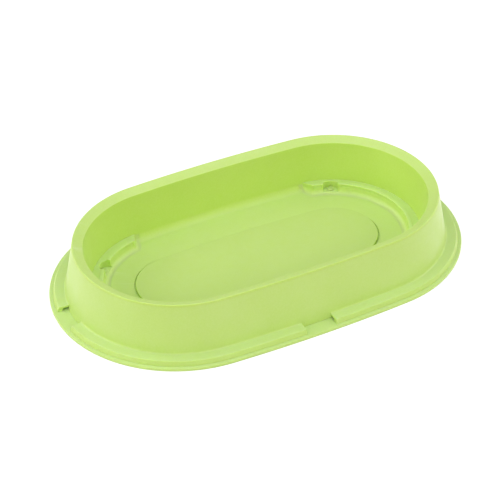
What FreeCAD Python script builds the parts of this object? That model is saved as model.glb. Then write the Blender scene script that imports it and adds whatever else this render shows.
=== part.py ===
import FreeCAD, Part
import math
import os
import re

import Sketcher

# Oval gold pan: a double-walled tray with a stepped foot flange, in millimetres.
# X runs along the pan, Y across it and Z up. The origin is the middle of the face that the pan rests on.
#
# Every outline round the pan is a parallel of one four-centre oval. The oval's ends are arcs about
# (+-end_centre, 0) and its sides are long arcs about (0, -+side_centre). A "radius" below is the radius
# of a parallel's end arcs.

SIZES = {
    # the oval
    "end_centre": 60.5,
    "side_centre": 985.0,
    # stepped foot flange
    "flange_radius": 89.5,
    "lip_height": 2.0,
    "riser_foot_radius": 87.0,
    "riser_thickness": 3.4,
    "shelf_edge_radius": 85.6,
    "shelf_height": 5.3,
    "shelf_thickness": 1.3,
    "shelf_fillet": 0.5,
    "lip_fillet": 0.5,
    "notch_width": 22.0,
    # outer wall
    "skirt_foot_radius": 78.4,
    "skirt_thickness": 1.8,
    "skirt_top_height": 38.0,
    "foot_fillet": 1.5,
    # rim
    "rim_radius": 71.5,
    "rim_height": 40.0,
    "rim_inner_radius": 64.3,
    "rim_inner_height": 36.9,
    "rim_thickness": 2.0,
    "rim_fillet": 0.6,
    "hem_depth": 2.5,
    "hem_thickness": 1.5,
    # inner wall and floor
    "tray_foot_radius": 59.8,
    "tray_thickness": 2.0,
    "floor_height": 2.0,
    "floor_fillet": 6.0,
    "collar_width": 2.0,
    # base ring
    "fit_gap": 0.2,
    "rib_height": 3.0,
    "rib_thickness": 1.6,
    # riffle rails
    "rail_radius": 52.3,
    "rail_height": 9.0,
    "rail_half_angle": 86.0,
    "rail_back_height": 7.6,
    "rail_tip_angle": 83.6,
    "rail_tip_depth": 9.0,
    "rail_tip_run": 5.4,
    "bead_width": 2.5,
    "bead_height": 0.35,
    "toe_radius": 48.3,
    "toe_thickness": 0.3,
    "toe_fillet": 3.4,
    "undercut_depth": 0.8,
    "undercut_top": 7.7,
    "undercut_foot": 5.7,
    "end_block_angle": 9.2,
    # pin pockets in the rails
    "pocket_radius": 5.5,
    "pocket_floor": 3.0,
    "right_pocket_angle": 63.0,
    "left_pocket_angle": 41.5,
    # pins
    "pin_circle_radius": 54.8,
    "pin_radius": 1.5,
    "pin_hole_radius": 1.6,
    "pin_head_radius": 2.5,
    "pin_head_height": 1.0,
    "pin_foot_radius": 2.4,
    "pin_foot_height": 0.8,
    "pin_foot_recess": 0.1,
    "pin_foot_gap": 0.2,
    # centre plate
    "plate_radius": 30.8,
    "plate_thickness": 2.0,
    "plate_fillet": 0.5,
    "recess_radius": 31.7,
    "recess_depth": 0.8,
}

doc = FreeCAD.newDocument("gold_pan")
sheet = doc.addObject("Spreadsheet::Sheet", "sizes")
for row, (alias, value) in enumerate(SIZES.items(), 1):
    sheet.set(f"A{row}", alias)
    sheet.set(f"B{row}", str(value))
    sheet.setAlias(f"B{row}", alias)
doc.recompute()

# Two places closer than this are the same place.
TOLERANCE = 1e-3
# Radius that a flat oval is first drawn at, before the sheet's value takes over.
DRAWN_RADIUS = 40.0
# Where along an edge its height and radius are looked at, as shares of its length.
EDGE_SAMPLES = (0.1, 0.5, 0.9)

# Formulas that several outlines share. A formula is text over the sheet's words.
END_ANGLE = "atan(side_centre / end_centre)"
SIDE_SHIFT = "sqrt(end_centre ^ 2 + side_centre ^ 2)"
SKIRT_SLOPE = "(skirt_foot_radius - rim_radius) / (rim_height - shelf_height)"
TRAY_SLOPE = "(rim_inner_radius - tray_foot_radius) / (rim_inner_height - floor_height)"
RIM_SLOPE = "(rim_height - rim_inner_height) / (rim_radius - rim_inner_radius)"

# The four arcs of the oval: centre, start angle, swept angle and what is added to a parallel's radius.
RIGHT_END = ("end_centre", "0", f"-{END_ANGLE}", f"2 * {END_ANGLE}", "0")
BACK_SIDE = ("0", "-side_centre", END_ANGLE, f"180 deg - 2 * {END_ANGLE}", SIDE_SHIFT)
LEFT_END = ("-end_centre", "0", f"180 deg - {END_ANGLE}", f"2 * {END_ANGLE}", "0")
FRONT_SIDE = ("0", "side_centre", f"180 deg + {END_ANGLE}", f"180 deg - 2 * {END_ANGLE}", SIDE_SHIFT)
OVAL = (RIGHT_END, BACK_SIDE, LEFT_END, FRONT_SIDE)


def bound(formula):
    """Turns a formula of sheet words, each with an underscore, into an expression on the sheet."""
    return re.sub(r"[a-z]+(_[a-z]+)+", r"sizes.\g<0>", formula)


def skirt_face(height):
    """Radius of the outer wall's outer face at a height."""
    return f"(skirt_foot_radius + (shelf_height - {height}) * {SKIRT_SLOPE})"


def tray_face(height):
    """Radius of the inner wall's inner face at a height."""
    return f"(tray_foot_radius + ({height} - floor_height) * {TRAY_SLOPE})"


def tray_back(height):
    """Radius of the inner wall's hidden outer face at a height."""
    return f"({tray_face(height)} + tray_thickness)"


def collar_radius():
    """Radius of the collar that stands out from the inner wall's foot and rests on the base ring."""
    return f"({tray_back('lip_height')} + collar_width)"


def new_body(label):
    body = doc.addObject("PartDesign::Body", label)
    body.Label = label
    body.Placement = FreeCAD.Placement()
    return body


def origin_plane(body, role):
    return next(item for item in body.Origin.OriginFeatures if item.Role == role)


def new_sketch(body, role):
    sketch = body.newObject("Sketcher::SketchObject", f"{body.Label}_sketch")
    sketch.AttachmentSupport = [(origin_plane(body, role), "")]
    sketch.MapMode = "FlatFace"
    return sketch


def place_point(sketch, geometry, position, across, up, start=(1.0, 1.0)):
    """Ties one point of a sketch to its origin by two formulas; start is where it is drawn at first."""
    for kind, formula, first in (("DistanceX", across, start[0]), ("DistanceY", up, start[1])):
        index = sketch.addConstraint(Sketcher.Constraint(kind, -1, 1, geometry, position, first))
        sketch.setExpression(f"Constraints[{index}]", bound(formula))


def closed_outline(sketch, corners):
    """Draws straight sides through corners in order and closes them; a corner is a pair of formulas."""
    count = len(corners)
    for step in range(count):
        sketch.addGeometry(Part.LineSegment(FreeCAD.Vector(step, step * step, 0),
                                            FreeCAD.Vector(step + 1, step * step + 1, 0)))
    for step in range(count):
        sketch.addConstraint(Sketcher.Constraint("Coincident", step, 2, (step + 1) % count, 1))
    for step, (across, up) in enumerate(corners):
        place_point(sketch, step, 1, across, up)


def upright_outline(body, corners, arc):
    """A closed outline of (radius, height) corners in the upright plane where an arc of the oval starts."""
    centre_x, centre_y, start, _, shift = arc
    sketch = new_sketch(body, "XZ_Plane")
    upward = FreeCAD.Vector(0, 1, 0)
    sketch.AttachmentOffset = FreeCAD.Placement(FreeCAD.Vector(), FreeCAD.Rotation(upward, 1))
    sketch.setExpression("AttachmentOffset.Base.x", bound(centre_x))
    sketch.setExpression("AttachmentOffset.Base.z", bound(f"-({centre_y})"))
    sketch.setExpression("AttachmentOffset.Rotation.Angle", bound(start))
    closed_outline(sketch, [(f"{radius} + {shift}", height) for radius, height in corners])
    return sketch


def turned(body, kind, corners, arc):
    """Turns an outline along one arc: kind is Revolution to add material and Groove to take it away."""
    sketch = upright_outline(body, corners, arc)
    feature = body.newObject(f"PartDesign::{kind}", f"{body.Label}_{kind}")
    feature.Profile = sketch
    feature.ReferenceAxis = (sketch, ["V_Axis"])
    feature.setExpression("Angle", bound(arc[3]))
    doc.recompute()
    return feature


def ring(body, corners):
    """Turns an outline all the way round the oval."""
    for arc in OVAL:
        turned(body, "Revolution", corners, arc)


def half_oval(body, radius):
    """A sketch of the right half of the oval's parallel at a radius, closed along the Y axis."""
    sketch = new_sketch(body, "XY_Plane")
    end = SIZES["end_centre"]
    side = SIZES["side_centre"]
    apart = math.hypot(end, side)
    angle = math.atan2(side, end)
    half_turn = math.pi / 2
    front, right, back, closing = range(4)
    centres = ((0, side), (end, 0), (0, -side))
    spans = ((-half_turn, -angle), (-angle, angle), (angle, half_turn))
    radii = (apart + DRAWN_RADIUS, DRAWN_RADIUS, apart + DRAWN_RADIUS)
    for centre, span, size in zip(centres, spans, radii):
        circle = Part.Circle(FreeCAD.Vector(*centre, 0), FreeCAD.Vector(0, 0, 1), size)
        sketch.addGeometry(Part.ArcOfCircle(circle, *span))
    half_width = apart + DRAWN_RADIUS - side
    sketch.addGeometry(Part.LineSegment(FreeCAD.Vector(0, half_width, 0), FreeCAD.Vector(0, -half_width, 0)))
    place_point(sketch, front, 3, "0", "side_centre", centres[0])
    place_point(sketch, right, 3, "end_centre", "0", centres[1])
    place_point(sketch, back, 3, "0", "-side_centre", centres[2])
    sketch.addConstraint([
        Sketcher.Constraint("Tangent", front, 2, right, 1),
        Sketcher.Constraint("Tangent", right, 2, back, 1),
        Sketcher.Constraint("Coincident", back, 2, closing, 1),
        Sketcher.Constraint("Coincident", closing, 2, front, 1),
        Sketcher.Constraint("PointOnObject", closing, 1, -2),
        Sketcher.Constraint("PointOnObject", closing, 2, -2),
    ])
    index = sketch.addConstraint(Sketcher.Constraint("Radius", right, DRAWN_RADIUS))
    sketch.setExpression(f"Constraints[{index}]", bound(radius))
    return sketch


def mirrored(body, feature, role):
    """Repeats a feature on the other side of one of the body's own planes."""
    mirror = body.newObject("PartDesign::Mirrored", f"{body.Label}_mirror")
    mirror.Originals = [feature]
    mirror.MirrorPlane = (origin_plane(body, role), [""])
    body.Tip = mirror
    doc.recompute()
    return mirror


def oval_slab(body, radius, foot, thickness):
    """Adds a flat oval slab whose underside is at the height foot."""
    sketch = half_oval(body, radius)
    sketch.setExpression("AttachmentOffset.Base.z", bound(foot))
    pad = body.newObject("PartDesign::Pad", f"{body.Label}_pad")
    pad.Profile = sketch
    pad.setExpression("Length", bound(thickness))
    doc.recompute()
    return mirrored(body, pad, "YZ_Plane")


def parallel_radius(point):
    """The radius of the oval's parallel through a point."""
    end = SIZES["end_centre"]
    side = SIZES["side_centre"]
    across = abs(point.x)
    along = abs(point.y)
    if across * side > end * (along + side):
        return math.hypot(across - end, along)
    return math.hypot(across, along + side) - math.hypot(end, side)


def ring_edges(shape, radius, height):
    """Names of the edges that follow the oval's parallel at a radius and a height."""
    found = []
    for number, edge in enumerate(shape.Edges, 1):
        first, last = edge.ParameterRange
        points = [edge.valueAt(first + (last - first) * part) for part in EDGE_SAMPLES]
        if all(abs(point.z - height) < TOLERANCE and abs(parallel_radius(point) - radius) < TOLERANCE
               for point in points):
            found.append(f"Edge{number}")
    return found


def rounded(body, edges, size):
    """Rounds named edges of the body's last feature."""
    base = body.Tip
    fillet = body.newObject("PartDesign::Fillet", f"{body.Label}_fillet")
    fillet.Base = (base, edges)
    fillet.setExpression("Radius", bound(size))
    doc.recompute()
    return fillet


def pocketed(body, sketch, height, depth, upward=False):
    """Cuts a sketch into the body from a height, downward unless upward is true."""
    sketch.setExpression("AttachmentOffset.Base.z", bound(height))
    before = body.Shape.Volume
    pocket = body.newObject("PartDesign::Pocket", f"{body.Label}_pocket")
    pocket.Profile = sketch
    pocket.Reversed = upward
    pocket.setExpression("Length", bound(depth))
    doc.recompute()
    if not body.Shape.Volume < before:
        raise RuntimeError(f"a pocket in {body.Label} cut nothing")
    return pocket


def end_point(side, angle, radius):
    """X and Y formulas of a point at an angle from the long axis, seen from one end's centre."""
    return f"{side} * (end_centre + {radius} * cos({angle}))", f"{radius} * sin({angle})"


def flat_outline(body, corners):
    """A level sketch of one closed outline through corners in order."""
    sketch = new_sketch(body, "XY_Plane")
    closed_outline(sketch, corners)
    return sketch


def circles(body, places, radius):
    """A flat sketch with one circle at each place."""
    sketch = new_sketch(body, "XY_Plane")
    for number, (across, along) in enumerate(places):
        circle = Part.Circle(FreeCAD.Vector(number, 0, 0), FreeCAD.Vector(0, 0, 1), 1.0)
        sketch.addGeometry(circle)
        place_point(sketch, number, 3, across, along)
        index = sketch.addConstraint(Sketcher.Constraint("Radius", number, 1.0))
        sketch.setExpression(f"Constraints[{index}]", bound(radius))
    return sketch


# Each pocket and its pin is at an angle from the long axis, once behind it and once in front of it.
POCKETS = [(side, angle) for side, words in ((1, "right_pocket_angle"), (-1, "left_pocket_angle"))
           for angle in (words, f"-{words}")]


def make_inner_tray():
    """The floor, the inner wall and the bevelled rim, with a hem that hangs inside the outer wall."""
    body = new_body("inner_tray")
    oval_slab(body, "tray_foot_radius - floor_fillet", "0", "floor_height")
    join = "(tray_foot_radius - floor_fillet - tray_thickness)"
    collar_top = "(lip_height + collar_width)"
    rim_under = "rim_inner_height - rim_thickness"
    rim_root = f"({rim_under} + ({tray_back('0')} - rim_inner_radius) * {RIM_SLOPE})"
    rim_root = f"({rim_root} / (1 - {TRAY_SLOPE} * {RIM_SLOPE}))"
    hem_outer = f"({skirt_face('skirt_top_height')} - skirt_thickness - fit_gap)"
    hem_inner = f"({hem_outer} - hem_thickness)"
    hem_root = f"({rim_under} + ({hem_inner} - rim_inner_radius) * {RIM_SLOPE})"
    ring(body, [
        (join, "0"),
        (tray_back("0"), "0"),
        (tray_back("lip_height"), "lip_height"),
        (collar_radius(), "lip_height"),
        (collar_radius(), collar_top),
        (tray_back(collar_top), collar_top),
        (tray_back(rim_root), rim_root),
        (hem_inner, hem_root),
        (hem_inner, "skirt_top_height - hem_depth"),
        (hem_outer, "skirt_top_height - hem_depth"),
        (hem_outer, "skirt_top_height"),
        (skirt_face("skirt_top_height"), "skirt_top_height"),
        ("rim_radius", "rim_height"),
        ("rim_inner_radius", "rim_inner_height"),
        ("tray_foot_radius", "floor_height"),
        (join, "floor_height"),
    ])
    rounded(body, ring_edges(body.Shape, SIZES["tray_foot_radius"], SIZES["floor_height"]), "floor_fillet")
    rim = ring_edges(body.Shape, SIZES["rim_radius"], SIZES["rim_height"])
    rim += ring_edges(body.Shape, SIZES["rim_inner_radius"], SIZES["rim_inner_height"])
    rounded(body, rim, "rim_fillet")
    recess = pocketed(body, half_oval(body, "recess_radius"), "floor_height", "recess_depth")
    mirrored(body, recess, "YZ_Plane")
    pins = [end_point(side, angle, "pin_circle_radius") for side, angle in POCKETS]
    pocketed(body, circles(body, pins, "pin_hole_radius"), "floor_height", "floor_height")
    foot_seat = circles(body, pins, "pin_foot_radius + pin_foot_gap")
    pocketed(body, foot_seat, "0", "pin_foot_recess + pin_foot_height", upward=True)
    return body


def make_outer_skirt():
    """The flared outer wall with the hollow upper step of the flange, cut away at four notches."""
    body = new_body("outer_skirt")
    shelf_under = "(shelf_height - shelf_thickness)"
    ring(body, [
        (skirt_face("skirt_top_height"), "skirt_top_height"),
        ("skirt_foot_radius", "shelf_height"),
        ("shelf_edge_radius", "shelf_height"),
        ("riser_foot_radius", "lip_height"),
        ("riser_foot_radius - riser_thickness", "lip_height"),
        ("shelf_edge_radius - riser_thickness", shelf_under),
        (skirt_face(shelf_under), shelf_under),
        (skirt_face("lip_height"), "lip_height"),
        (f"{skirt_face('lip_height')} - skirt_thickness", "lip_height"),
        (f"{skirt_face('skirt_top_height')} - skirt_thickness", "skirt_top_height"),
    ])
    rounded(body, ring_edges(body.Shape, SIZES["skirt_foot_radius"], SIZES["shelf_height"]), "foot_fillet")
    rounded(body, ring_edges(body.Shape, SIZES["shelf_edge_radius"], SIZES["shelf_height"]), "shelf_fillet")
    end_half = "asin(notch_width / 2 / shelf_edge_radius)"
    side_half = f"asin(notch_width / 2 / (shelf_edge_radius + {SIDE_SHIFT}))"
    notch_top = "(shelf_height + shelf_thickness)"
    for centre_x, centre_y, middle, half, shift in (
        ("end_centre", "0", 0, end_half, "0"),
        ("0", "-side_centre", 90, side_half, SIDE_SHIFT),
        ("-end_centre", "0", 180, end_half, "0"),
        ("0", "side_centre", 270, side_half, SIDE_SHIFT),
    ):
        turned(body, "Groove", [
            (skirt_face(notch_top), notch_top),
            ("flange_radius", notch_top),
            ("flange_radius", "lip_height - fit_gap"),
            (skirt_face("lip_height - fit_gap"), "lip_height - fit_gap"),
        ], (centre_x, centre_y, f"{middle} deg - {half}", f"2 * {half}", shift))
    return body


def make_base_ring():
    """The flat ring that closes the hollow between the walls; its rim is the flange's lower lip."""
    body = new_body("base_ring")
    rib_top = "(lip_height + rib_height)"
    skirt_rib_foot = f"({skirt_face('lip_height')} - skirt_thickness - fit_gap)"
    skirt_rib_top = f"({skirt_face(rib_top)} - skirt_thickness - fit_gap)"
    collar_rib = f"({collar_radius()} + fit_gap)"
    ring(body, [
        (f"{tray_back('lip_height')} + fit_gap", "0"),
        ("flange_radius", "0"),
        ("flange_radius", "lip_height"),
        (skirt_rib_foot, "lip_height"),
        (skirt_rib_top, rib_top),
        (f"{skirt_rib_top} - rib_thickness", rib_top),
        (f"{skirt_rib_top} - rib_thickness", "lip_height"),
        (f"{collar_rib} + rib_thickness", "lip_height"),
        (f"{collar_rib} + rib_thickness", rib_top),
        (collar_rib, rib_top),
        (collar_rib, "lip_height"),
        (f"{tray_back('lip_height')} + fit_gap", "lip_height"),
    ])
    rounded(body, ring_edges(body.Shape, SIZES["flange_radius"], SIZES["lip_height"]), "lip_fillet")
    return body


def make_rail(label, side, middle):
    """A low rail round the inside of one end, beaded and undercut along its front and oblique at its tips."""
    body = new_body(label)
    centre_x = f"{side} * end_centre"
    toe_top = "(floor_height + toe_thickness)"
    bead_back = "(rail_radius + bead_width)"
    turned(body, "Revolution", [
        ("toe_radius", "floor_height"),
        ("toe_radius", toe_top),
        ("rail_radius", toe_top),
        ("rail_radius", "rail_height"),
        (bead_back, "rail_height"),
        (bead_back, "rail_height - bead_height"),
        (f"{tray_face('rail_back_height')} - fit_gap", "rail_back_height"),
        (f"{tray_face('floor_height')} - fit_gap", "floor_height"),
    ], (centre_x, "0", f"{middle} deg - rail_half_angle * 1 deg", "2 * rail_half_angle", "0"))
    face_foot = ring_edges(body.Shape, SIZES["rail_radius"], SIZES["floor_height"] + SIZES["toe_thickness"])
    rounded(body, face_foot, "toe_fillet")
    back_foot = ring_edges(body.Shape, SIZES["tray_foot_radius"] - SIZES["fit_gap"], SIZES["floor_height"])
    rounded(body, back_foot, "floor_fillet")
    undercut_half = "(rail_half_angle - end_block_angle)"
    turned(body, "Groove", [
        ("rail_radius - undercut_depth", "undercut_foot"),
        ("rail_radius", "undercut_foot"),
        ("rail_radius + undercut_depth", "undercut_top"),
        ("rail_radius - undercut_depth", "undercut_top"),
    ], (centre_x, "0", f"{middle} deg - {undercut_half} * 1 deg", f"2 * {undercut_half}", "0"))
    own = [angle for place, angle in POCKETS if place == side]
    pockets = circles(body, [end_point(side, angle, "rail_radius") for angle in own], "pocket_radius")
    pocketed(body, pockets, "rail_height", "rail_height - pocket_floor")
    holes = circles(body, [end_point(side, angle, "pin_circle_radius") for angle in own], "pin_hole_radius")
    pocketed(body, holes, "rail_height", "rail_height")
    oblique_tips(body, side)
    return body


def oblique_tips(body, side):
    """Cuts both tips of a rail off obliquely, from its face back to the tray's wall, and leaves the thin toe."""
    tip = "rail_tip_angle * 1 deg"
    corner = f"({tip} - asin(rail_tip_run / rail_radius))"
    toe_run = "((rail_radius - toe_radius) * rail_tip_run / rail_tip_depth)"
    toe_corner = f"({corner} - asin({toe_run} / rail_radius))"
    beyond = f"({tip} + asin(rail_tip_depth / rail_radius))"
    for sign in (1, -1):
        cut = flat_outline(body, [
            end_point(side, f"{sign} * {tip}", "(rail_radius + rail_tip_depth)"),
            end_point(side, f"{sign} * {corner}", "rail_radius"),
            end_point(side, f"{sign} * {toe_corner}", "toe_radius"),
            end_point(side, f"{sign} * {beyond}", "toe_radius"),
            end_point(side, f"{sign} * {beyond}", "(rail_radius + rail_tip_depth)"),
        ])
        pocketed(body, cut, "rail_height", "rail_height - floor_height - toe_thickness")


def make_centre_plate():
    """The oval plate that lies in the floor's recess and stands a little above the floor."""
    body = new_body("centre_plate")
    oval_slab(body, "plate_radius", "floor_height - recess_depth", "plate_thickness")
    top = SIZES["floor_height"] - SIZES["recess_depth"] + SIZES["plate_thickness"]
    rounded(body, ring_edges(body.Shape, SIZES["plate_radius"], top), "plate_fillet")
    return body


def make_rail_pins():
    """The pins that hold the rails: a low head in the pocket, a shank and a staked foot under the floor."""
    body = new_body("rail_pins")
    foot_top = "(pin_foot_recess + pin_foot_height)"
    head_top = "(pocket_floor + pin_head_height)"
    for side, angle in POCKETS:
        across, along = end_point(side, angle, "pin_circle_radius")
        turned(body, "Revolution", [
            ("0", "pin_foot_recess"),
            ("pin_foot_radius", "pin_foot_recess"),
            ("pin_foot_radius", foot_top),
            ("pin_radius", foot_top),
            ("pin_radius", "pocket_floor"),
            ("pin_head_radius", "pocket_floor"),
            ("pin_head_radius", "pocket_floor + pin_head_height / 2"),
            ("pin_head_radius - pin_head_height / 2", head_top),
            ("0", head_top),
        ], (across, along, "0", "360 deg", "0"))
    return body


bodies = [
    make_inner_tray(),
    make_outer_skirt(),
    make_base_ring(),
    make_rail("left_riffle_rail", -1, 180),
    make_rail("right_riffle_rail", 1, 0),
    make_centre_plate(),
    make_rail_pins(),
]
doc.recompute()

for item in doc.Objects:
    if "Invalid" in item.State or "Error" in item.State:
        raise RuntimeError(f"{item.Name} did not build: {item.State}")
for body in bodies:
    if body.Shape.isNull() or not body.Shape.isValid():
        raise RuntimeError(f"{body.Label} has no valid shape")

os.makedirs("parts", exist_ok=True)
for body in bodies:
    body.Shape.exportStep(f"parts/{body.Label}.step")
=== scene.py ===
import math

import bmesh
import bpy
from mathutils import Matrix, Vector


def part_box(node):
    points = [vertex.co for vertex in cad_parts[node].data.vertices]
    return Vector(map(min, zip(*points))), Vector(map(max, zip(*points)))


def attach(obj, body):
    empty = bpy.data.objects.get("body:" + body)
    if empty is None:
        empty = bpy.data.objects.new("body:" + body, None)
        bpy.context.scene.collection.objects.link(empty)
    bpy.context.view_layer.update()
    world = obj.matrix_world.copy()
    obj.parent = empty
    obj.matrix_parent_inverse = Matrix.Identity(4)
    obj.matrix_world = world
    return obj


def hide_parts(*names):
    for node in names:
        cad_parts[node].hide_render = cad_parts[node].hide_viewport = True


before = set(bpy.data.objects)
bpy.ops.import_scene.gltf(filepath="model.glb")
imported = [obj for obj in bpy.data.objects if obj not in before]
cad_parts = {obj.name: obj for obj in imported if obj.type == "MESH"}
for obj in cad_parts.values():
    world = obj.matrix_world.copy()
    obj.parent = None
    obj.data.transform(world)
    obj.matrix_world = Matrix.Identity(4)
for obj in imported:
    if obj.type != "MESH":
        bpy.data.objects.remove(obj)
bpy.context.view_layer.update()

# Looks of the oval gold pan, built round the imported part. Everything is in metres in the part's own frame:
# X along the pan, Y across it, Z up, with the origin in the middle of the face that it rests on.
#
# Every outline round the pan is a parallel of one four-centre oval: two end arcs about (+-END_CENTRE, 0) and
# two long side arcs about (0, -+SIDE_CENTRE). A radius below is the radius of a parallel's end arcs.

MM = 0.001
BODY = "root"

# ---------------------------------------------------------------- sizes

BASE_LOW, BASE_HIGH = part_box("base_ring")
SKIRT_LOW, SKIRT_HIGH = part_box("outer_skirt")
TRAY_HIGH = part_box("inner_tray")[1]
RAIL_LOW, RAIL_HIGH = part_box("right_riffle_rail")
PLATE_LOW, PLATE_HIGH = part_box("centre_plate")
PINS_LOW, PINS_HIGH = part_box("rail_pins")

# the oval
END_CENTRE = 60.5 * MM
SIDE_BULGE = END_CENTRE - (BASE_HIGH.x - BASE_HIGH.y)
SIDE_CENTRE = (END_CENTRE ** 2 - SIDE_BULGE ** 2) / (2 * SIDE_BULGE)
SIDE_SHIFT = math.hypot(END_CENTRE, SIDE_CENTRE)
END_ANGLE = math.atan2(SIDE_CENTRE, END_CENTRE)
STATION_STEP = 2.4 * MM
EDGE_ROUND = 0.4 * MM

# heights
LIP_TOP = SKIRT_LOW.z
FLOOR_TOP = RAIL_LOW.z
SHELF_TOP = 5.3 * MM
SHELF_THICKNESS = 1.3 * MM
SHELF_UNDER = SHELF_TOP - SHELF_THICKNESS
SKIRT_TOP = SKIRT_HIGH.z
RIM_TOP = 40.0 * MM
RIM_INNER_TOP = 36.9 * MM
RAIL_TOP = RAIL_HIGH.z

# flange and outer wall
FLANGE = BASE_HIGH.x - END_CENTRE
LIP_WIDTH = 2.5 * MM
RISER_LEAN = 1.4 * MM
RISER_FOOT = FLANGE - LIP_WIDTH
RISER_THICKNESS = 3.4 * MM
SHELF_EDGE = RISER_FOOT - RISER_LEAN
SKIRT_FOOT = 78.4 * MM
SKIRT_THICKNESS = 1.8 * MM
SKIRT_TOP_RADIUS = TRAY_HIGH.x - END_CENTRE
SKIRT_SLOPE = (SKIRT_FOOT - SKIRT_TOP_RADIUS) / (SKIRT_TOP - SHELF_TOP)
FOOT_FILLET = 1.5 * MM
NOTCH_ANGLE = math.acos((SKIRT_HIGH.x - END_CENTRE) / RISER_FOOT)
SIDE_NOTCH_ANGLE = math.asin(SHELF_EDGE * math.sin(NOTCH_ANGLE) / (SHELF_EDGE + SIDE_SHIFT))

# tray
RIM_RADIUS = SKIRT_TOP_RADIUS - (RIM_TOP - SKIRT_TOP) * SKIRT_SLOPE
RIM_INNER = 64.3 * MM
RIM_THICKNESS = 2.0 * MM
TRAY_FOOT = 59.8 * MM
TRAY_THICKNESS = 2.0 * MM
TRAY_SLOPE = (RIM_INNER - TRAY_FOOT) / (RIM_INNER_TOP - FLOOR_TOP)
FLOOR_FILLET = 6.0 * MM
HEM_DEPTH = 2.5 * MM
HEM_THICKNESS = 1.5 * MM
COLLAR = 2.0 * MM
FIT_GAP = 0.2 * MM
RIB_HEIGHT = 3.0 * MM
RIB_THICKNESS = 1.6 * MM
RECESS_GAP = 0.9 * MM
RECESS_DEPTH = FLOOR_TOP - PLATE_LOW.z

# plate
PLATE_RADIUS = PLATE_HIGH.x - END_CENTRE
PLATE_BORDER = 2.0 * MM
RECESS_RADIUS = PLATE_RADIUS + RECESS_GAP

# riffle rails
RAIL_FACE = 52.3 * MM
TOE_WIDTH = 3.6 * MM
TOE_RUN = 0.9 * MM
TOE_THICKNESS = 0.12 * MM
TOE_FILLET = 3.58 * MM
UNDERCUT_DEPTH = 0.8 * MM
UNDERCUT_TOP = 7.7 * MM
BEAD_WIDTH = 2.5 * MM
BEAD_STEP = 0.35 * MM
RAIL_BACK_TOP = 7.6 * MM
TIP_CORNER_ANGLE = math.radians(77.7)
TIP_END_ANGLE = math.radians(86.0)
TIP_LEAN = math.radians(53.9)
TIP_ROUND = 0.3 * MM
TIP_BLOCK = 0.8 * MM
POCKET_RADIUS = 5.5 * MM
POCKET_FLOOR = 3.0 * MM
POST_WIDTH = 1.4 * MM
RUN_OUT = 0.24 * MM
FRONT_SINK = 0.02 * MM
BACK_SINK = 0.05 * MM
LIP_CORNER = 0.1 * MM
BEAD_EDGE = 0.2 * MM
BEAD_TURN = 0.05 * MM
BEAD_DROP = 0.06 * MM
BEAD_SPREAD = 0.01 * MM

# pins
PIN_RADIUS = 1.5 * MM
PIN_HOLE = 1.6 * MM
PIN_HEAD = 2.5 * MM
PIN_FOOT = 2.4 * MM
PIN_SEAT = 2.6 * MM
PIN_FOOT_HEIGHT = 0.8 * MM
PIN_FOOT_EDGE = 0.2 * MM
# radius and depth of the hollow in the foot
PIN_FOOT_DISH = (0.8 * MM, 0.15 * MM)
PIN_HEAD_LIFT = 0.02 * MM
# the head's edge: how far in, at what share of its height
PIN_HEAD_EDGE = ((0, 0.55), (0.12 * MM, 0.8))
PIN_HEAD_BEVEL = 0.5 * MM
# the head's dimple: shares of the head's radius, and depths at its wall and its middle
PIN_DIMPLE = (0.4, 0.28)
PIN_DIMPLE_DEPTHS = (0.25 * MM, 0.3 * MM)

# roundings of edges, the finest first
FLUSH_ROUND = 0.05 * MM
WALL_ROUND = 0.1 * MM
RISER_ROUND = 0.15 * MM
SMALL_ROUND = 0.2 * MM
RIB_ROUND = 0.3 * MM
BASE_ROUND = 0.35 * MM
ROOT_ROUND = 0.5 * MM
RIM_ROUND = 0.6 * MM

# how round things are divided
ARC_STEP = math.radians(15)
PIN_SEGMENTS = 48
SHARP_ANGLE = math.radians(32)
NOTCH_ROUND_STEPS = 4
TOE_STEPS = 4
TOE_SWELL = 1.5
FILLET_STEPS = 5
FACE_STEPS = 6
EDGE_STEPS = 4
BACK_STEPS = 8
FACE_ROWS = 50
TIP_ROWS = 14
# extra rows beside a tip's corner, in millimetres along the rail's face
TIP_OFFSETS = (-0.5, -0.25, -0.1, 0.1, 0.25, 0.5)
POCKET_ROWS = 28
MOUTH_ROWS = 6
ROW_GAP = 0.02 * MM
MERGE_DISTANCE = 1e-7
NEAR_ZERO = 1e-6


def skirt_face(height):
    """Radius of the outer wall's outer face at a height."""
    return SKIRT_FOOT + (SHELF_TOP - height) * SKIRT_SLOPE


def tray_face(height):
    """Radius of the inner wall's inner face at a height."""
    return TRAY_FOOT + (height - FLOOR_TOP) * TRAY_SLOPE


# ---------------------------------------------------------------- the oval and its outlines

def oval_arcs():
    """The four arcs: centre x and y, what is added to a radius, middle angle, half sweep and half notch."""
    side_half = math.pi / 2 - END_ANGLE
    return (
        (END_CENTRE, 0.0, 0.0, 0.0, END_ANGLE, NOTCH_ANGLE),
        (0.0, -SIDE_CENTRE, SIDE_SHIFT, math.pi / 2, side_half, SIDE_NOTCH_ANGLE),
        (-END_CENTRE, 0.0, 0.0, math.pi, END_ANGLE, NOTCH_ANGLE),
        (0.0, SIDE_CENTRE, SIDE_SHIFT, 3 * math.pi / 2, side_half, SIDE_NOTCH_ANGLE),
    )


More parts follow.
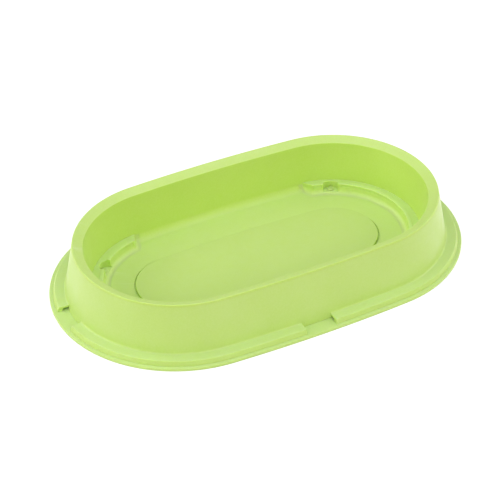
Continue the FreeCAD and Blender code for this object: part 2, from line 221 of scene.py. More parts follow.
def half_marks(half, notch, reach):
    """Angles from an arc's middle to its end, and how far the flange is drawn in there; None in the notch."""
    steps = math.ceil(notch * reach / STATION_STEP)
    marks = [(notch * step / steps, None) for step in range(steps)]
    for step in range(NOTCH_ROUND_STEPS + 1):
        turn = math.pi / 2 * step / NOTCH_ROUND_STEPS
        marks.append((notch + EDGE_ROUND * (1 - math.cos(turn)) / reach, EDGE_ROUND * (1 - math.sin(turn))))
    start = marks[-1][0]
    steps = math.ceil((half - start) * reach / STATION_STEP)
    return marks + [(start + (half - start) * step / steps, 0.0) for step in range(1, steps)]


def oval_stations():
    """Stations all the way round: centre x and y, direction, shift, and how far the flange is drawn in."""
    stations = []
    for x, y, shift, middle, half, notch in oval_arcs():
        marks = half_marks(half, notch, SHELF_EDGE + shift)
        marks = [(-half, 0.0)] + [(-offset, inset) for offset, inset in reversed(marks[1:])] + marks
        for offset, inset in marks:
            angle = middle + offset
            stations.append((x, y, math.cos(angle), math.sin(angle), shift, inset))
    return stations


STATIONS = oval_stations()


def oval_point(station, radius, height):
    """The point of one of the oval's parallels at a station."""
    x, y, along, across, shift, _ = station
    return Vector((x + (radius + shift) * along, y + (radius + shift) * across, height))


def rounded_outline(corners, closed=True):
    """Points through corners, each (radius, height, rounding); a rounding of 0 leaves a corner sharp."""
    points = []
    count = len(corners)
    for index, (radius, height, rounding) in enumerate(corners):
        here = Vector((radius, height))
        ends = index in (0, count - 1) and not closed
        if rounding == 0 or ends:
            points.append(here)
            continue
        before = (Vector(corners[index - 1][:2]) - here).normalized()
        after = (Vector(corners[(index + 1) % count][:2]) - here).normalized()
        opening = before.angle(after)
        reach = rounding / math.tan(opening / 2)
        start = here + before * reach
        end = here + after * reach
        centre = here + (before + after).normalized() * (rounding / math.sin(opening / 2))
        steps = max(2, math.ceil((math.pi - opening) / ARC_STEP))
        turn = (start - centre).angle_signed(end - centre)
        for step in range(steps + 1):
            arm = (start - centre).copy()
            arm.rotate(Matrix.Rotation(-turn * step / steps, 2))
            points.append(centre + arm)
    return points


def mirrored_pairs(ring):
    """Pairs of a ring's entries that mirror each other front to back, from one end to the other."""
    count = len(ring)
    tip = next(i for i in range(count) if abs(STATIONS[i][3]) < NEAR_ZERO and STATIONS[i][2] > 0)
    return [(ring[(tip + step) % count], ring[(tip - step) % count]) for step in range(count // 2 + 1)]


def cap_oval(mesh, ring):
    """Closes the inside of a ring of vertices with strips across the pan."""
    pairs = mirrored_pairs(ring)
    for (back, front), (next_back, next_front) in zip(pairs, pairs[1:]):
        corners = [back, next_back, next_front, front]
        unique = [vert for index, vert in enumerate(corners) if vert not in corners[:index]]
        mesh.faces.new(unique)


def sweep_rings(mesh, outline, closed):
    """Sweeps an outline round the oval and returns its rows of vertices, one per station."""
    rows = [[mesh.verts.new(oval_point(station, *point)) for point in outline] for station in STATIONS]
    count = len(outline)
    for row, following in zip(rows, rows[1:] + rows[:1]):
        for step in range(count if closed else count - 1):
            other = (step + 1) % count
            mesh.faces.new((row[step], row[other], following[other], following[step]))
    return rows


def shade(mesh):
    """Smooth shading with sharp edges where the surface turns."""
    for face in mesh.faces:
        face.smooth = True
    for edge in mesh.edges:
        edge.smooth = len(edge.link_faces) == 2 and edge.calc_face_angle() < SHARP_ANGLE


def new_piece(name, mesh, material, slot, *nodes):
    """Turns a bmesh into a shaded piece that rides on the pan and stands for CAD nodes."""
    bmesh.ops.remove_doubles(mesh, verts=mesh.verts, dist=MERGE_DISTANCE)
    bmesh.ops.dissolve_degenerate(mesh, edges=mesh.edges, dist=MERGE_DISTANCE)
    bmesh.ops.recalc_face_normals(mesh, faces=mesh.faces)
    shade(mesh)
    data = bpy.data.meshes.new(name)
    mesh.to_mesh(data)
    mesh.free()
    data.materials.append(material)
    piece = bpy.data.objects.new(name, data)
    bpy.context.scene.collection.objects.link(piece)
    normals = piece.modifiers.new("even_normals", "WEIGHTED_NORMAL")
    normals.keep_sharp = True
    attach(piece, BODY)
    if nodes:
        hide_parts(*nodes)
    return piece


# ---------------------------------------------------------------- materials

# how large and how deep the plastic's detail is
CLOUD_SIZE = 45 * MM
SPECK_SIZE = 1.1 * MM
RUB_SIZE = 9 * MM
# size of the patches of painted haze
HAZE_PATCH_SIZE = 5 * MM
HANDLING_SIZE = 14 * MM
GRAIN_SIZE = 0.45 * MM
GRAIN_DEPTH = 0.03 * MM
WAVE_SIZE = 28 * MM
WAVE_DEPTH = 0.25 * MM
SCATTER_DEPTH = 1.5 * MM

# where the noise that drives it starts and ends, and what it is turned into
NOISE_RANGE = (0.3, 0.7)
SPECK_RANGE = (0.35, 0.75)
SPECK_SHARE = 0.16
RUB_RANGE = (0.35, 0.65)
RUB_SHARES = (0.15, 0.55)
# how thick the painted haze is in its patches
PAINTED_HAZE_SHARES = (0.8, 1)
# how pointed an edge is where it starts to be rubbed, and where it is rubbed most
WORN_POINTINESS = (0.52, 0.62)

# how matt it is, from its most handled patches to its least
ROUGHNESS = (0.46, 0.60)

# linear red, green, blue and alpha
LIME_COLOUR = (0.52, 0.715, 0.100, 1)
LIME_PALE = (0.66, 0.80, 0.30, 1)
LIME_DEEP = (0.50, 0.70, 0.082, 1)
# the pale colour of the painted haze, a painted reflection of the lights
PAINTED_HAZE_COLOUR = (0.56, 0.73, 0.40, 1)
# how much more of the painted haze lies on what faces up, and how level a face is where that starts
PAINTED_HAZE_ABOVE = 0.30
PAINTED_HAZE_START = 0.6


def add_node(tree, kind, **values):
    """A shader node with its properties or inputs set by name."""
    node = tree.nodes.new(kind)
    for name, value in values.items():
        if name in node.inputs:
            node.inputs[name].default_value = value
        else:
            setattr(node, name, value)
    return node


def noise(tree, coordinates, size, detail=2.0, roughness=0.5):
    """Noise whose lumps are about size metres across, as a 0 to 1 value."""
    node = add_node(tree, "ShaderNodeTexNoise", Scale=1 / size, Detail=detail, Roughness=roughness)
    tree.links.new(coordinates, node.inputs["Vector"])
    return node.outputs["Fac"]


def remapped(tree, value, low, high, to_low, to_high):
    node = add_node(tree, "ShaderNodeMapRange", clamp=True)
    for name, number in (("From Min", low), ("From Max", high), ("To Min", to_low), ("To Max", to_high)):
        node.inputs[name].default_value = number
    tree.links.new(value, node.inputs["Value"])
    return node.outputs["Result"]


def mixed(tree, factor, first, second):
    """Blends two colours, each a socket or four numbers."""
    node = add_node(tree, "ShaderNodeMix", data_type="RGBA")
    tree.links.new(factor, node.inputs["Factor"])
    for value, socket in ((first, node.inputs[6]), (second, node.inputs[7])):
        if isinstance(value, bpy.types.NodeSocket):
            tree.links.new(value, socket)
        else:
            socket.default_value = value
    return node.outputs[2]


def bump(tree, height, distance, strength, normal=None):
    node = add_node(tree, "ShaderNodeBump", Distance=distance, Strength=strength)
    tree.links.new(height, node.inputs["Height"])
    if normal is not None:
        tree.links.new(normal, node.inputs["Normal"])
    return node.outputs["Normal"]


def moulded_plastic(name, colour, pale, deep, painted_haze=0.0):
    """Semi-matt moulded plastic: grained and cloudy, with paler worn edges and a pale film of painted haze.
    """
    material = bpy.data.materials.new(name)
    material.use_nodes = True
    tree = material.node_tree
    shader = tree.nodes["Principled BSDF"]
    place = tree.nodes.new("ShaderNodeTexCoord").outputs["Object"]
    # pigment that is not quite evenly mixed
    clouds = remapped(tree, noise(tree, place, CLOUD_SIZE, 3), *NOISE_RANGE, 0, 1)
    body = mixed(tree, clouds, deep, colour)
    specks = remapped(tree, noise(tree, place, SPECK_SIZE, 2), *SPECK_RANGE, 0, SPECK_SHARE)
    body = mixed(tree, specks, body, pale)
    # edges rubbed paler, in patches
    geometry = tree.nodes.new("ShaderNodeNewGeometry")
    edge = remapped(tree, geometry.outputs["Pointiness"], *WORN_POINTINESS, 0, 1)
    patches = remapped(tree, noise(tree, place, RUB_SIZE, 4), *RUB_RANGE, *RUB_SHARES)
    worn = add_node(tree, "ShaderNodeMath", operation="MULTIPLY")
    tree.links.new(edge, worn.inputs[0])
    tree.links.new(patches, worn.inputs[1])
    body = mixed(tree, worn.outputs[0], body, pale)
    # painted haze, a thin pale film that stands for reflected light: an even share, and more of it on what
    # faces up
    facing = add_node(tree, "ShaderNodeSeparateXYZ")
    tree.links.new(geometry.outputs["Normal"], facing.inputs[0])
    haze_share = add_node(tree, "ShaderNodeMath", operation="MULTIPLY")
    level = remapped(tree, facing.outputs["Z"], PAINTED_HAZE_START, 1, painted_haze, painted_haze + PAINTED_HAZE_ABOVE)
    tree.links.new(level, haze_share.inputs[0])
    patches = remapped(tree, noise(tree, place, HAZE_PATCH_SIZE, 4), *NOISE_RANGE, *PAINTED_HAZE_SHARES)
    tree.links.new(patches, haze_share.inputs[1])
    body = mixed(tree, haze_share.outputs[0], body, PAINTED_HAZE_COLOUR)
    tree.links.new(body, shader.inputs["Base Color"])
    # sheen that varies with handling
    handling = remapped(tree, noise(tree, place, HANDLING_SIZE, 5), *NOISE_RANGE, *ROUGHNESS)
    tree.links.new(handling, shader.inputs["Roughness"])
    shader.inputs["IOR"].default_value = 1.49
    shader.inputs["Specular IOR Level"].default_value = 0.9
    shader.inputs["Sheen Weight"].default_value = 0.08
    shader.inputs["Sheen Roughness"].default_value = 0.6
    shader.inputs["Subsurface Weight"].default_value = 0.25
    shader.inputs["Subsurface Radius"].default_value = (1.0, 1.4, 0.35)
    shader.inputs["Subsurface Scale"].default_value = SCATTER_DEPTH
    # mould grain, and the slow waves of a thin wall
    grain = noise(tree, place, GRAIN_SIZE, 3, 0.6)
    waves = noise(tree, place, WAVE_SIZE, 1)
    normal = bump(tree, waves, WAVE_DEPTH, 0.25)
    normal = bump(tree, grain, GRAIN_DEPTH, 0.35, normal)
    tree.links.new(normal, shader.inputs["Normal"])
    return material


LIME = moulded_plastic("lime_plastic", LIME_COLOUR, LIME_PALE, LIME_DEEP)
# the outer pieces carry an even share of painted haze, a painted reflection of the lights
OUTER_LIME = moulded_plastic("outer_plastic", LIME_COLOUR, LIME_PALE, LIME_DEEP, painted_haze=0.15)
# the rails carry an even share of painted haze as well
RAIL_LIME = moulded_plastic(
    "rail_plastic",
    colour=(0.54, 0.735, 0.100, 1),
    pale=(0.68, 0.82, 0.30, 1),
    deep=(0.52, 0.72, 0.082, 1),
    painted_haze=0.14,
)
PLATE_LIME = moulded_plastic(
    "plate_plastic",
    colour=(0.48, 0.66, 0.075, 1),
    pale=(0.60, 0.74, 0.26, 1),
    deep=(0.46, 0.645, 0.060, 1),
)
PIN_LIME = moulded_plastic(
    "pin_plastic",
    colour=(0.46, 0.61, 0.115, 1),
    pale=(0.56, 0.70, 0.24, 1),
    deep=(0.44, 0.60, 0.097, 1),
)


# ---------------------------------------------------------------- pieces

def pin_places():
    """Middle of each rail pin, read from the pins' own node: one in each quarter of the pan."""
    points = [vert.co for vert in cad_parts["rail_pins"].data.vertices]
    places = []
    for right in (True, False):
        for back in (True, False):
            own = [point for point in points if (point.x > 0) == right and (point.y > 0) == back]
            xs = [point.x for point in own]
            ys = [point.y for point in own]
            places.append(((min(xs) + max(xs)) / 2, (min(ys) + max(ys)) / 2))
    return places


PIN_PLACES = pin_places()


def turned_solid(mesh, centre, outline, segments=PIN_SEGMENTS):
    """Turns an outline of (radius, height) points, from axis to axis, about an upright axis."""
    x, y = centre
    rings = []
    for radius, height in outline:
        if radius == 0:
            rings.append([mesh.verts.new((x, y, height))])
            continue
        ring = []
        for step in range(segments):
            angle = 2 * math.pi * step / segments
            ring.append(mesh.verts.new((x + radius * math.cos(angle), y + radius * math.sin(angle), height)))
        rings.append(ring)
    for ring, following in zip(rings, rings[1:]):
        for step in range(segments):
            corners = [ring[step % len(ring)], ring[(step + 1) % len(ring)],
                       following[(step + 1) % len(following)], following[step % len(following)]]
            unique = [vert for index, vert in enumerate(corners) if vert not in corners[:index]]
            mesh.faces.new(unique)


def cut_away(piece, cutter_mesh):
    """Cuts a closed mesh out of a piece."""
    data = bpy.data.meshes.new("cutter")
    bmesh.ops.recalc_face_normals(cutter_mesh, faces=cutter_mesh.faces)
    cutter_mesh.to_mesh(data)
    cutter_mesh.free()
    cutter = bpy.data.objects.new("cutter", data)
    bpy.context.scene.collection.objects.link(cutter)
    boolean = piece.modifiers.new("cut", "BOOLEAN")
    boolean.operation = "DIFFERENCE"
    boolean.solver = "EXACT"
    boolean.object = cutter
    piece.modifiers.move(len(piece.modifiers) - 1, 0)
    with bpy.context.temp_override(object=piece, active_object=piece, selected_objects=[piece]):
        bpy.ops.object.modifier_apply(modifier=boolean.name)
    bpy.data.objects.remove(cutter)
    bpy.data.meshes.remove(data)
    mesh = bmesh.new()
    mesh.from_mesh(piece.data)
    shade(mesh)
    mesh.to_mesh(piece.data)
    mesh.free()


def make_inner_tray():
    """Floor, inner wall and bevelled rim with its hem, with four stepped holes for the pins."""
    rim_slope = (RIM_TOP - RIM_INNER_TOP) / (RIM_RADIUS - RIM_INNER)
    rim_under = RIM_INNER_TOP - RIM_THICKNESS
    back = TRAY_FOOT + TRAY_THICKNESS - FLOOR_TOP * TRAY_SLOPE
    root = (rim_under + (back - RIM_INNER) * rim_slope) / (1 - TRAY_SLOPE * rim_slope)
    hem_outer = skirt_face(SKIRT_TOP) - SKIRT_THICKNESS - FIT_GAP
    hem_inner = hem_outer - HEM_THICKNESS
    collar_top = LIP_TOP + COLLAR
    outline = rounded_outline([
        (RECESS_RADIUS, FLOOR_TOP - RECESS_DEPTH, 0),
        (RECESS_RADIUS, FLOOR_TOP, SMALL_ROUND),
        (TRAY_FOOT, FLOOR_TOP, FLOOR_FILLET),
        (RIM_INNER, RIM_INNER_TOP, RIM_ROUND),
        (RIM_RADIUS, RIM_TOP, RIM_ROUND),
        (skirt_face(SKIRT_TOP), SKIRT_TOP, FLUSH_ROUND),
        (hem_outer, SKIRT_TOP, 0),
        (hem_outer, SKIRT_TOP - HEM_DEPTH, SMALL_ROUND),
        (hem_inner, SKIRT_TOP - HEM_DEPTH, SMALL_ROUND),
        (hem_inner, rim_under + (hem_inner - RIM_INNER) * rim_slope, ROOT_ROUND),
        (back + root * TRAY_SLOPE, root, ROOT_ROUND),
        (back + collar_top * TRAY_SLOPE, collar_top, 0),
        (back + LIP_TOP * TRAY_SLOPE + COLLAR, collar_top, SMALL_ROUND),
        (back + LIP_TOP * TRAY_SLOPE + COLLAR, LIP_TOP, 0),
        (back + LIP_TOP * TRAY_SLOPE, LIP_TOP, 0),
        (back, 0, RIB_ROUND),
        (RECESS_RADIUS, 0, 0),
    ], closed=False)
    mesh = bmesh.new()
    rows = sweep_rings(mesh, outline, closed=False)
    cap_oval(mesh, [row[0] for row in rows])
    cap_oval(mesh, [row[-1] for row in rows])
    tray = new_piece("inner_tray_moulding", mesh, LIME, "lime_plastic", "inner_tray")
    holes = bmesh.new()
    seat_top = PINS_LOW.z + PIN_FOOT_HEIGHT
    for place in PIN_PLACES:
        turned_solid(holes, place, [(0, -MM), (PIN_SEAT, -MM), (PIN_SEAT, seat_top), (PIN_HOLE, seat_top),
                                    (PIN_HOLE, POCKET_FLOOR), (0, POCKET_FLOOR)])
    cut_away(tray, holes)


SKIRT_LEAN = math.atan(SKIRT_SLOPE)
FOOT_FILLET_TOP = SHELF_TOP + FOOT_FILLET * math.cos(SKIRT_LEAN) / math.tan((math.pi / 2 + SKIRT_LEAN) / 2)


def flange_outline(inset):
    """The flange's hollow step from its underside round to the outer wall, drawn in by inset."""
    top = SHELF_TOP - inset
    return rounded_outline([
        (skirt_face(SHELF_UNDER), SHELF_UNDER, 0),
        (SHELF_EDGE - RISER_THICKNESS, SHELF_UNDER, SMALL_ROUND),
        (RISER_FOOT - RISER_THICKNESS, LIP_TOP, 0),
        (RISER_FOOT - inset, LIP_TOP, RISER_ROUND),
        (SHELF_EDGE - inset, top, RIM_ROUND),
        (skirt_face(top), top, FOOT_FILLET),
        (skirt_face(FOOT_FILLET_TOP + EDGE_ROUND), FOOT_FILLET_TOP + EDGE_ROUND, 0),
    ], closed=False)[1:-1]


def make_outer_skirt():
    """Flared outer wall with the hollow step of the flange, which is cut away at four notches."""
    foot = FOOT_FILLET_TOP + EDGE_ROUND
    wall = rounded_outline([
        (skirt_face(foot), foot, 0),
        (skirt_face(SKIRT_TOP), SKIRT_TOP, FLUSH_ROUND),
        (skirt_face(SKIRT_TOP) - SKIRT_THICKNESS, SKIRT_TOP, WALL_ROUND),
        (skirt_face(LIP_TOP) - SKIRT_THICKNESS, LIP_TOP, WALL_ROUND),
        (skirt_face(LIP_TOP), LIP_TOP, WALL_ROUND),
        (skirt_face(SHELF_UNDER), SHELF_UNDER, 0),
    ], closed=False)
    mesh = bmesh.new()
    rows = []
    for station, own in zip(STATIONS, sweep_rings(mesh, wall, closed=False)):
        inset = station[5]
        points = [] if inset is None else flange_outline(inset)
        rows.append([own[-1], *(mesh.verts.new(oval_point(station, *point)) for point in points), own[0]])
    for row, following in zip(rows, rows[1:] + rows[:1]):
        if len(row) != len(following):
            mesh.faces.new(max(row, following, key=len))
        if min(len(row), len(following)) == 2:
            row = [row[0], row[-1]]
            following = [following[0], following[-1]]
        for step in range(len(row) - 1):
            mesh.faces.new((row[step], row[step + 1], following[step + 1], following[step]))
    new_piece("outer_skirt_moulding", mesh, OUTER_LIME, "lime_plastic", "outer_skirt")


def make_base_ring():
    """Flat ring that closes the hollow between the walls; its rim is the flange's thin lower lip."""
    rib_top = LIP_TOP + RIB_HEIGHT
    tray_back = tray_face(LIP_TOP) + TRAY_THICKNESS
    skirt_rib_foot = skirt_face(LIP_TOP) - SKIRT_THICKNESS - FIT_GAP
    skirt_rib_top = skirt_face(rib_top) - SKIRT_THICKNESS - FIT_GAP
    collar_rib = tray_back + COLLAR + FIT_GAP
    outline = rounded_outline([
        (tray_back + FIT_GAP, 0, RIB_ROUND),
        (FLANGE, 0, BASE_ROUND),
        (FLANGE, LIP_TOP, RIM_ROUND),
        (skirt_rib_foot, LIP_TOP, 0),
        (skirt_rib_top, rib_top, RIB_ROUND),
        (skirt_rib_top - RIB_THICKNESS, rib_top, RIB_ROUND),
        (skirt_rib_top - RIB_THICKNESS, LIP_TOP, ROOT_ROUND),
        (collar_rib + RIB_THICKNESS, LIP_TOP, ROOT_ROUND),
        (collar_rib + RIB_THICKNESS, rib_top, RIB_ROUND),
        (collar_rib, rib_top, RIB_ROUND),
        (collar_rib, LIP_TOP, 0),
        (tray_back + FIT_GAP, LIP_TOP, 0),
    ])
    mesh = bmesh.new()
    sweep_rings(mesh, outline, closed=True)
    new_piece("base_ring_moulding", mesh, OUTER_LIME, "lime_plastic", "base_ring")


def make_centre_plate():
    """Oval plate that lies in the floor's recess and stands a little above the floor."""
    outline = rounded_outline([
        (PLATE_RADIUS - PLATE_BORDER, PLATE_HIGH.z, 0),
        (PLATE_RADIUS, PLATE_HIGH.z, ROOT_ROUND),
        (PLATE_RADIUS, PLATE_LOW.z, SMALL_ROUND),
        (PLATE_RADIUS - PLATE_BORDER, PLATE_LOW.z, 0),
    ], closed=False)
    mesh = bmesh.new()
    rows = sweep_rings(mesh, outline, closed=False)
    cap_oval(mesh, [row[0] for row in rows])
    cap_oval(mesh, [row[-1] for row in rows])
    new_piece("centre_plate_moulding", mesh, PLATE_LIME, "lime_plastic", "centre_plate")


# ---------------------------------------------------------------- riffle rails

WALL_LEAN = math.atan(TRAY_SLOPE)
FILLET_REACH = FLOOR_FILLET / math.tan((math.pi / 2 + WALL_LEAN) / 2)
FILLET_CENTRE = TRAY_FOOT - FILLET_REACH
FILLET_TOP = FLOOR_TOP + FILLET_REACH * math.cos(WALL_LEAN)
TOE_TOP = FLOOR_TOP + TOE_THICKNESS
FACE_FOOT = TOE_TOP + TOE_FILLET
POCKET_TURN = math.acos((FACE_FOOT - POCKET_FLOOR) / TOE_FILLET)
RAIL_BACK = tray_face(RAIL_BACK_TOP)
TOP_FALL = (RAIL_TOP - BEAD_STEP - RAIL_BACK_TOP) / (RAIL_BACK - RAIL_FACE - BEAD_WIDTH)


def tray_surface(radius):
    """Height of the tray's floor and its fillet at a radius."""
    out = min(max(radius - FILLET_CENTRE, 0), FLOOR_FILLET * math.cos(WALL_LEAN))
    return FLOOR_TOP + FLOOR_FILLET - math.sqrt(FLOOR_FILLET ** 2 - out ** 2)


def seated(radius, height, sink):
    """Brings a point of a rail that lies deeper in the tray out to sink under the tray's surface."""
    radius = min(radius, tray_face(max(height, FILLET_TOP)) + sink)
    return radius, max(height, tray_surface(radius) - sink)


def pocket_depth(along, inset):
    """How far behind the rail's face its surface is near a pocket, where it is otherwise at inset."""
    along = abs(along)
    growth = max(inset, 0)
    face = min(inset, 0)
    if along < POCKET_RADIUS + growth:
        return max(math.sqrt((POCKET_RADIUS + growth) ** 2 - along ** 2), face + EDGE_ROUND)
    if along < POCKET_RADIUS + EDGE_ROUND:
        corner = EDGE_ROUND - growth
        return face + EDGE_ROUND - math.sqrt(max(corner ** 2 - (POCKET_RADIUS + EDGE_ROUND - along) ** 2, 0))
    return inset


def tip_depth(angle, inset):
    """How far behind the rail's face its oblique tip is at an angle, once the tip is moved in by inset."""
    swing = abs(angle) - TIP_CORNER_ANGLE + TIP_LEAN
    if swing <= 0:
        return -RAIL_FACE
    return (RAIL_FACE * math.cos(TIP_LEAN) + inset) / math.cos(swing) - RAIL_FACE


def soft_max(first, second):
    """The greater of two lengths, rounded where they are equal."""
    near = max(TIP_ROUND - abs(first - second), 0) / TIP_ROUND
    return max(first, second) + near ** 2 * TIP_ROUND / 4


def top_height(depth):
    """Height of the rail's top behind its face: a flat bead, a small step and a slope down to the wall."""
    if depth <= BEAD_WIDTH:
        return RAIL_TOP
    return RAIL_TOP - BEAD_STEP - (depth - BEAD_WIDTH) * TOP_FALL


def toe_outline():
    """The toe and the lower part of its fillet, as far up as the pockets' floor: (inset, height) points."""
    points = []
    for step in range(TOE_STEPS):
        share = step / TOE_STEPS
        points.append((-TOE_WIDTH - TOE_RUN * (1 - share), FLOOR_TOP + TOE_THICKNESS * share ** TOE_SWELL))
    for step in range(FILLET_STEPS + 1):
        points.append(fillet_point(POCKET_TURN * step / FILLET_STEPS))
    return points


def fillet_point(turn):
    """A point of the toe's fillet, turned from its low end."""
    return -TOE_FILLET * (1 - math.sin(turn)), FACE_FOOT - TOE_FILLET * math.cos(turn)


def face_outline(share):
    """The face above the pockets' floor, with its undercut at a share of its depth, and the rounded lip."""
    groove = UNDERCUT_DEPTH * share
    points = []
    for step in range(FACE_STEPS + 1):
        points.append(fillet_point(POCKET_TURN + (math.pi / 2 - POCKET_TURN) * step / FACE_STEPS))
    points += [
        (groove / 2, (FACE_FOOT + UNDERCUT_TOP) / 2),
        (groove, UNDERCUT_TOP - LIP_CORNER),
        (groove - LIP_CORNER * share, UNDERCUT_TOP),
        (LIP_CORNER * share, UNDERCUT_TOP),
        (0, UNDERCUT_TOP + LIP_CORNER),
    ]
    for step in range(EDGE_STEPS + 1):
        turn = math.pi / 2 * step / EDGE_STEPS
        points.append((EDGE_ROUND * (1 - math.cos(turn)), RAIL_TOP - EDGE_ROUND * (1 - math.sin(turn))))
    return points


def undercut_share(angle, pocket):
    """1 where the rail is undercut, 0 at its tips and beside its pockets, with a short run-out between."""
    block = (TIP_CORNER_ANGLE - abs(angle)) * RAIL_FACE - TIP_BLOCK
    post = abs(abs(angle) - pocket) * RAIL_FACE - POCKET_RADIUS - POST_WIDTH
    return min(max(min(block, post) / RUN_OUT + 0.5, 0), 1)


def rail_row(angle, pocket):
    """The rail's section in the upright plane at an angle: (radius, height) points."""
    along = (abs(angle) - pocket) * RAIL_FACE
    points = [(soft_max(inset, tip_depth(angle, inset)), height) for inset, height in toe_outline()]
    edge = soft_max(pocket_depth(along, EDGE_ROUND), tip_depth(angle, EDGE_ROUND))
    stretch = (top_height(edge) - FACE_FOOT) / (RAIL_TOP - FACE_FOOT)
    for inset, height in face_outline(undercut_share(angle, pocket)):
        depth = soft_max(pocket_depth(along, inset), tip_depth(angle, inset))
        points.append((depth, FACE_FOOT + (height - FACE_FOOT) * (stretch if height > FACE_FOOT else 1)))
    bead = (
        (BEAD_WIDTH - BEAD_EDGE, RAIL_TOP),
        (BEAD_WIDTH - BEAD_TURN, RAIL_TOP - BEAD_DROP),
        (BEAD_WIDTH, RAIL_TOP - BEAD_STEP),
    )
    for order, (inset, height) in enumerate(bead, start=1):
        behind = edge + order * BEAD_SPREAD
        points.append((inset, height) if behind < inset else (behind, top_height(behind)))
    front = [seated(RAIL_FACE + depth, height, FRONT_SINK) for depth, height in points]
    back = [(max(RAIL_BACK, front[-1][0]), RAIL_BACK_TOP)]
    for step in range(BACK_STEPS + 1):
        turn = (math.pi / 2 - WALL_LEAN) * (1 - step / BACK_STEPS)
        back.append((max(FILLET_CENTRE + FLOOR_FILLET * math.sin(turn), front[0][0]), 0))
    return front + [seated(radius, height, BACK_SINK) for radius, height in back]


def rail_angles(pocket):
    """Angles of a rail's rows: closer together at the pockets' mouths, the posts and the tips."""
    tip_sweep = TIP_END_ANGLE - TIP_CORNER_ANGLE
    marks = [TIP_CORNER_ANGLE * step / FACE_ROWS for step in range(FACE_ROWS + 1)]
    marks += [TIP_CORNER_ANGLE + tip_sweep * step / TIP_ROWS for step in range(TIP_ROWS + 1)]
    marks += [TIP_CORNER_ANGLE + offset * MM / RAIL_FACE for offset in TIP_OFFSETS]
    ends = [TIP_CORNER_ANGLE - TIP_BLOCK / RAIL_FACE]
    ends += [pocket + sign * (POCKET_RADIUS + POST_WIDTH) / RAIL_FACE for sign in (1, -1)]
    marks += [end + sign * RUN_OUT / 2 / RAIL_FACE for end in ends for sign in (1, -1)]
    for step in range(POCKET_ROWS + 1):
        marks.append(pocket + POCKET_RADIUS * math.cos(math.pi * step / POCKET_ROWS) / RAIL_FACE)
    for step in range(MOUTH_ROWS + 1):
        reach = POCKET_RADIUS + EDGE_ROUND * (1 - math.cos(math.pi / 2 * step / MOUTH_ROWS))
        marks += [pocket + sign * reach / RAIL_FACE for sign in (1, -1)]
    kept = []
    for mark in sorted(marks):
        if not kept or mark - kept[-1] > ROW_GAP / RAIL_FACE:
            kept.append(mark)
    return [-mark for mark in reversed(kept[1:])] + kept


def make_rail(side, name, node):
    """A low rail round one end: toe, undercut face, beaded top edge and two half-round pockets."""
    centre = side * END_CENTRE
    own = [place for place in PIN_PLACES if (place[0] > 0) == (side > 0)]
    pocket = math.atan2(abs(own[0][1]), side * (own[0][0] - centre))
    mesh = bmesh.new()
    rows = []
    for angle in rail_angles(pocket):
        along = side * math.cos(angle)
        across = math.sin(angle)
        rows.append([mesh.verts.new((centre + radius * along, radius * across, height))
                     for radius, height in rail_row(angle, pocket)])
    count = len(rows[0])
    for row, following in zip(rows, rows[1:]):
        for step in range(count):
            other = (step + 1) % count
            mesh.faces.new((row[step], row[other], following[other], following[step]))
    mesh.faces.new(rows[0])
    mesh.faces.new(rows[-1])
    rail = new_piece(name, mesh, RAIL_LIME, "lime_plastic", node)
    holes = bmesh.new()
    hole_top = FACE_FOOT - MM
    for place in own:
        turned_solid(holes, place, [(0, 0), (PIN_HOLE, 0), (PIN_HOLE, hole_top), (0, hole_top)])
    cut_away(rail, holes)


def make_rail_pins():
    """Four pins: a low chamfered head with a dimple, a shank and a staked foot."""
    foot_top = PINS_LOW.z + PIN_FOOT_HEIGHT
    head_foot = POCKET_FLOOR + PIN_HEAD_LIFT
    head = PINS_HIGH.z - POCKET_FLOOR
    names = ("pin_right_back", "pin_right_front", "pin_left_back", "pin_left_front")
    for place, name in zip(PIN_PLACES, names):
        mesh = bmesh.new()
        turned_solid(mesh, place, [
            (0, PINS_LOW.z + PIN_FOOT_DISH[1]),
            (PIN_FOOT_DISH[0], PINS_LOW.z),
            (PIN_FOOT - PIN_FOOT_EDGE, PINS_LOW.z),
            (PIN_FOOT, PINS_LOW.z + PIN_FOOT_EDGE),
            (PIN_FOOT, foot_top),
            (PIN_RADIUS, foot_top),
            (PIN_RADIUS, head_foot),
            (PIN_HEAD, head_foot),
            *((PIN_HEAD - inset, POCKET_FLOOR + head * share) for inset, share in PIN_HEAD_EDGE),
            (PIN_HEAD - PIN_HEAD_BEVEL, PINS_HIGH.z),
            (PIN_HEAD * PIN_DIMPLE[0], PINS_HIGH.z),
            (PIN_HEAD * PIN_DIMPLE[1], PINS_HIGH.z - PIN_DIMPLE_DEPTHS[0]),
            (0, PINS_HIGH.z - PIN_DIMPLE_DEPTHS[1]),
        ])
        new_piece(name, mesh, PIN_LIME, "pin_plastic", "rail_pins")


# ---------------------------------------------------------------- stage, light and camera

FLOOR_HALF = 3.0
FLOOR_DROP = 0.05 * MM
FLOOR_ROUGHNESS = 0.9
# the grey that light bounces from
FLOOR_GREY = (0.5, 0.5, 0.5)
# the grey that takes the shadow which is seen, and how much the floor glows when it is seen or mirrored
FLOOR_SHOWN = (0.4, 0.4, 0.4)
FLOOR_GLOW = 0.72
FLOOR_GLOSS = 1.7


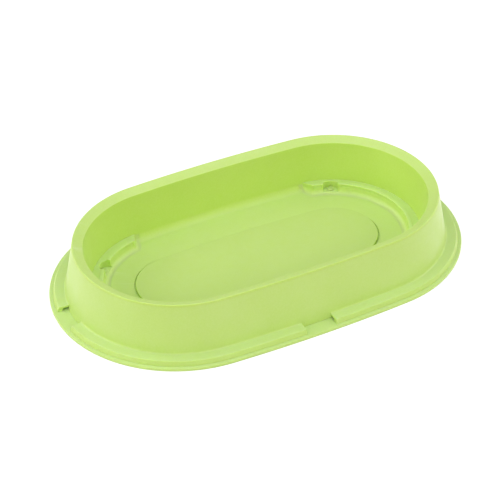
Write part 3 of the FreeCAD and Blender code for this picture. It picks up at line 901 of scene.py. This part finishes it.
def make_stage():
    """A plain floor that looks white, with only the shadow at the pan's foot on it."""
    mesh = bmesh.new()
    signs = ((-1, -1), (1, -1), (1, 1), (-1, 1))
    mesh.faces.new([mesh.verts.new((x * FLOOR_HALF, y * FLOOR_HALF, 0)) for x, y in signs])
    data = bpy.data.meshes.new("floor")
    mesh.to_mesh(data)
    mesh.free()
    floor = bpy.data.objects.new("floor", data)
    floor.location.z = BASE_LOW.z - FLOOR_DROP
    bpy.context.scene.collection.objects.link(floor)
    material = bpy.data.materials.new("floor_white")
    material.use_nodes = True
    tree = material.node_tree
    paper = tree.nodes["Principled BSDF"]
    paper.inputs["Base Color"].default_value = (*FLOOR_GREY, 1)
    paper.inputs["Roughness"].default_value = FLOOR_ROUGHNESS
    # seen directly or mirrored in a gloss, the floor glows as well as being lit, which takes it past white
    glow = add_node(tree, "ShaderNodeEmission")
    shadowed = add_node(tree, "ShaderNodeBsdfDiffuse", Color=(*FLOOR_SHOWN, 1))
    seen = tree.nodes.new("ShaderNodeAddShader")
    tree.links.new(glow.outputs[0], seen.inputs[0])
    tree.links.new(shadowed.outputs[0], seen.inputs[1])
    choice = tree.nodes.new("ShaderNodeMixShader")
    ray = tree.nodes.new("ShaderNodeLightPath")
    looked_at = add_node(tree, "ShaderNodeMath", operation="MAXIMUM")
    strength = remapped(tree, ray.outputs["Is Glossy Ray"], 0, 1, FLOOR_GLOW, FLOOR_GLOSS)
    tree.links.new(strength, glow.inputs["Strength"])
    tree.links.new(ray.outputs["Is Camera Ray"], looked_at.inputs[0])
    tree.links.new(ray.outputs["Is Glossy Ray"], looked_at.inputs[1])
    tree.links.new(looked_at.outputs[0], choice.inputs[0])
    tree.links.new(paper.outputs[0], choice.inputs[1])
    tree.links.new(seen.outputs[0], choice.inputs[2])
    tree.links.new(choice.outputs[0], tree.nodes["Material Output"].inputs["Surface"])
    data.materials.append(material)


def area_light(name, place, aim, size, power):
    data = bpy.data.lights.new(name, "AREA")
    data.shape = "DISK"
    data.size = size
    data.energy = power
    light = bpy.data.objects.new(name, data)
    light.location = place
    light.rotation_euler = (Vector(aim) - Vector(place)).to_track_quat("-Z", "Y").to_euler()
    bpy.context.scene.collection.objects.link(light)


# name, place, diameter and power of each soft light; all of them aim at the origin
LIGHTS = (
    ("top", (0, 0, 1.6), 1.6, 9.9),
    ("front", (0, -1.5, 0.8), 1.0, 9.4),
    ("left", (-1.6, -0.2, 0.8), 1.8, 13.8),
    ("right", (1.6, -0.2, 0.8), 1.8, 13.2),
    ("back_left", (-0.9, 1.1, 1.0), 1.0, 9.5),
)
DOME = 0.2


def make_light():
    """Soft studio light: an even dome and five large lights, the strongest from the left and right."""
    world = bpy.data.worlds.new("studio")
    bpy.context.scene.world = world
    world.use_nodes = True
    background = world.node_tree.nodes["Background"]
    background.inputs["Color"].default_value = (1, 1, 1, 1)
    background.inputs["Strength"].default_value = DOME
    for name, place, size, power in LIGHTS:
        area_light(f"{name}_light", place, (0, 0, 0), size, power)


CAMERA_AZIMUTH = math.radians(-26.731)
CAMERA_ELEVATION = math.radians(36.486)
CAMERA_ROLL = math.radians(-1.02)
CAMERA_DISTANCE = 1.1175
CAMERA_TARGET = Vector((-6.35 * MM, 19.19 * MM, 0))
CAMERA_LENS = 114.29
CAMERA_SENSOR = 36.0
CAMERA_SHIFT = (0.0231, -0.0031)


def make_camera():
    """A long lens in front of the pan, a little to its left and above it."""
    back = Vector((math.sin(CAMERA_AZIMUTH) * math.cos(CAMERA_ELEVATION),
                   -math.cos(CAMERA_AZIMUTH) * math.cos(CAMERA_ELEVATION), math.sin(CAMERA_ELEVATION)))
    right = Vector((math.cos(CAMERA_AZIMUTH), math.sin(CAMERA_AZIMUTH), 0))
    upright = Matrix((right, back.cross(right), back)).transposed()
    turn = upright @ Matrix.Rotation(CAMERA_ROLL, 3, "Z")
    data = bpy.data.cameras.new("camera")
    data.sensor_width = CAMERA_SENSOR
    data.lens = CAMERA_LENS
    data.shift_x, data.shift_y = CAMERA_SHIFT
    camera = bpy.data.objects.new("camera", data)
    camera.matrix_world = Matrix.Translation(CAMERA_TARGET + back * CAMERA_DISTANCE) @ turn.to_4x4()
    bpy.context.scene.collection.objects.link(camera)
    bpy.context.scene.camera = camera


make_inner_tray()
make_outer_skirt()
make_base_ring()
make_centre_plate()
make_rail(1, "right_riffle_rail_moulding", "right_riffle_rail")
make_rail(-1, "left_riffle_rail_moulding", "left_riffle_rail")
make_rail_pins()
make_stage()
make_light()
make_camera()
bpy.context.scene.view_settings.view_transform = "Standard"
